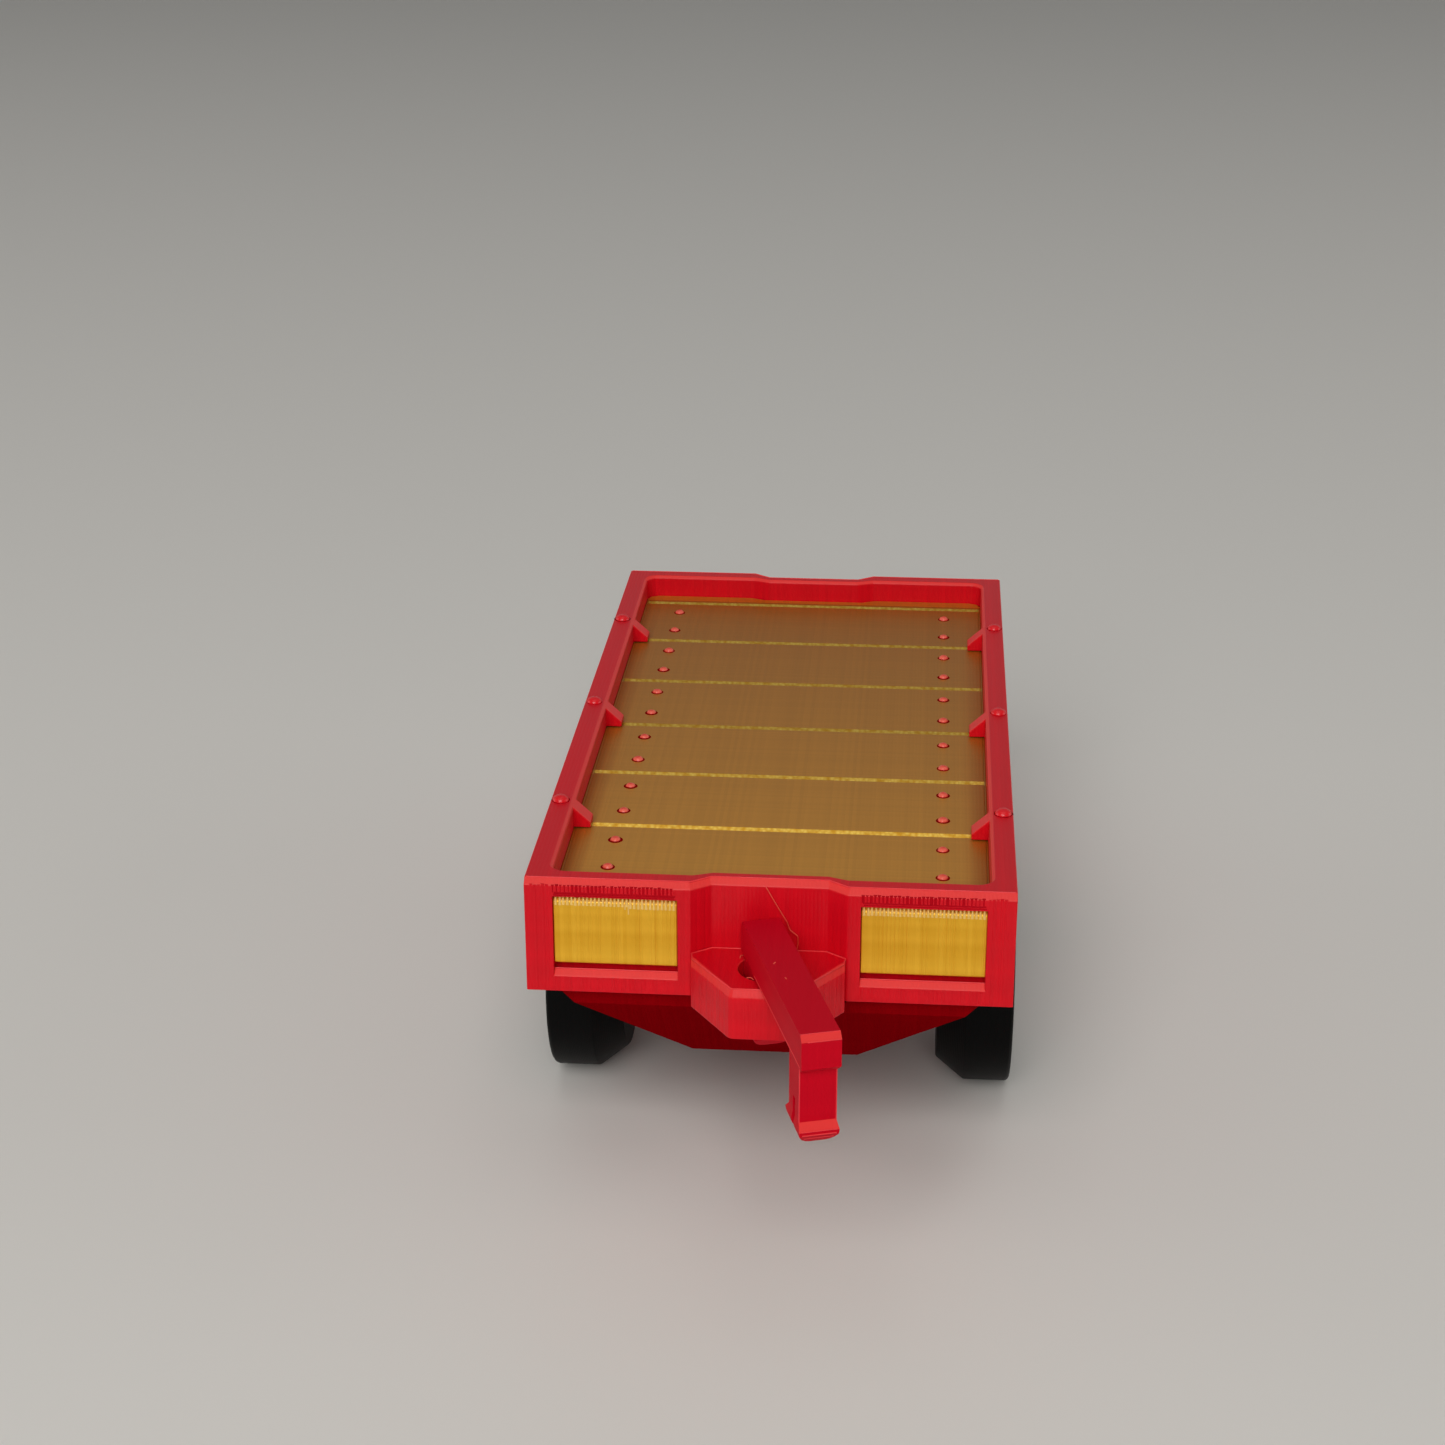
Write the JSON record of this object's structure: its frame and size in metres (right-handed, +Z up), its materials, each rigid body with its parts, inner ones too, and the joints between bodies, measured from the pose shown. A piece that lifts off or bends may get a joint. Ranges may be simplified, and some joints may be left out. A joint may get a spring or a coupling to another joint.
{
  "type": "toy_trailer",
  "caption": "Printed toy flatbed trailer: red frame, bronze plank deck, gold end panels, tapered hull, black wheels on turning axles, and a snap-in drawbar link that swings.",
  "frame": {"origin": "on the floor under the middle of the whole trailer, drawbar link included", "axes": "+X across to the right seen from the drawbar end, -Y towards the drawbar, +Z up"},
  "size_m": [0.054, 0.1356, 0.039],
  "materials": {
    "red_plastic": "satin printed PLA with fine layer lines",
    "gold_silk_plastic": "silk gold PLA with a metallic sheen",
    "bronze_silk_plastic": "silk bronze PLA with fine lines along the bed",
    "black_plastic": "matte black PLA"
  },
  "bodies": {
    "trailer": {"bed_frame": "red_plastic", "chassis_hull": "red_plastic", "hitch_shelf_front": "red_plastic", "hitch_shelf_rear": "red_plastic", "deck_board": "bronze_silk_plastic", "deck_rivet_01": "red_plastic", "deck_rivet_02": "red_plastic", "deck_rivet_03": "red_plastic", "deck_rivet_04": "red_plastic", "deck_rivet_05": "red_plastic", "deck_rivet_06": "red_plastic", "deck_rivet_07": "red_plastic", "deck_rivet_08": "red_plastic", "deck_rivet_09": "red_plastic", "deck_rivet_10": "red_plastic", "deck_rivet_11": "red_plastic", "deck_rivet_12": "red_plastic", "deck_rivet_13": "red_plastic", "deck_rivet_14": "red_plastic", "deck_rivet_15": "red_plastic", "deck_rivet_16": "red_plastic", "deck_rivet_17": "red_plastic", "deck_rivet_18": "red_plastic", "deck_rivet_19": "red_plastic", "deck_rivet_20": "red_plastic", "deck_rivet_21": "red_plastic", "deck_rivet_22": "red_plastic", "deck_rivet_23": "red_plastic", "deck_rivet_24": "red_plastic", "rim_stud_left_1": "red_plastic", "rim_stud_left_2": "red_plastic", "rim_stud_left_3": "red_plastic", "rim_stud_right_1": "red_plastic", "rim_stud_right_2": "red_plastic", "rim_stud_right_3": "red_plastic", "front_panel_left": "gold_silk_plastic", "front_panel_right": "gold_silk_plastic", "rear_panel_left": "gold_silk_plastic", "rear_panel_right": "gold_silk_plastic"},
    "front_axle_set": {"axle_front": "black_plastic", "wheel_front_left": "black_plastic", "wheel_front_right": "black_plastic"},
    "rear_axle_set": {"axle_rear": "black_plastic", "wheel_rear_left": "black_plastic", "wheel_rear_right": "black_plastic"},
    "drawbar": {"drawbar_link": "red_plastic"}
  },
  "joints": [
    {"name": "front_axle_spin", "type": "hinge", "parent": "trailer", "child": "front_axle_set", "pos_m": [0, -0.01033, 0.0136], "axis": [1, 0, 0], "continuous": true},
    {"name": "rear_axle_spin", "type": "hinge", "parent": "trailer", "child": "rear_axle_set", "pos_m": [0, 0.02767, 0.0136], "axis": [1, 0, 0], "continuous": true},
    {"name": "drawbar_swing", "type": "hinge", "parent": "trailer", "child": "drawbar", "pos_m": [0, -0.04523, 0.03025], "axis": [0, 0, 1], "range_deg": [-102, 68]}
  ]
}
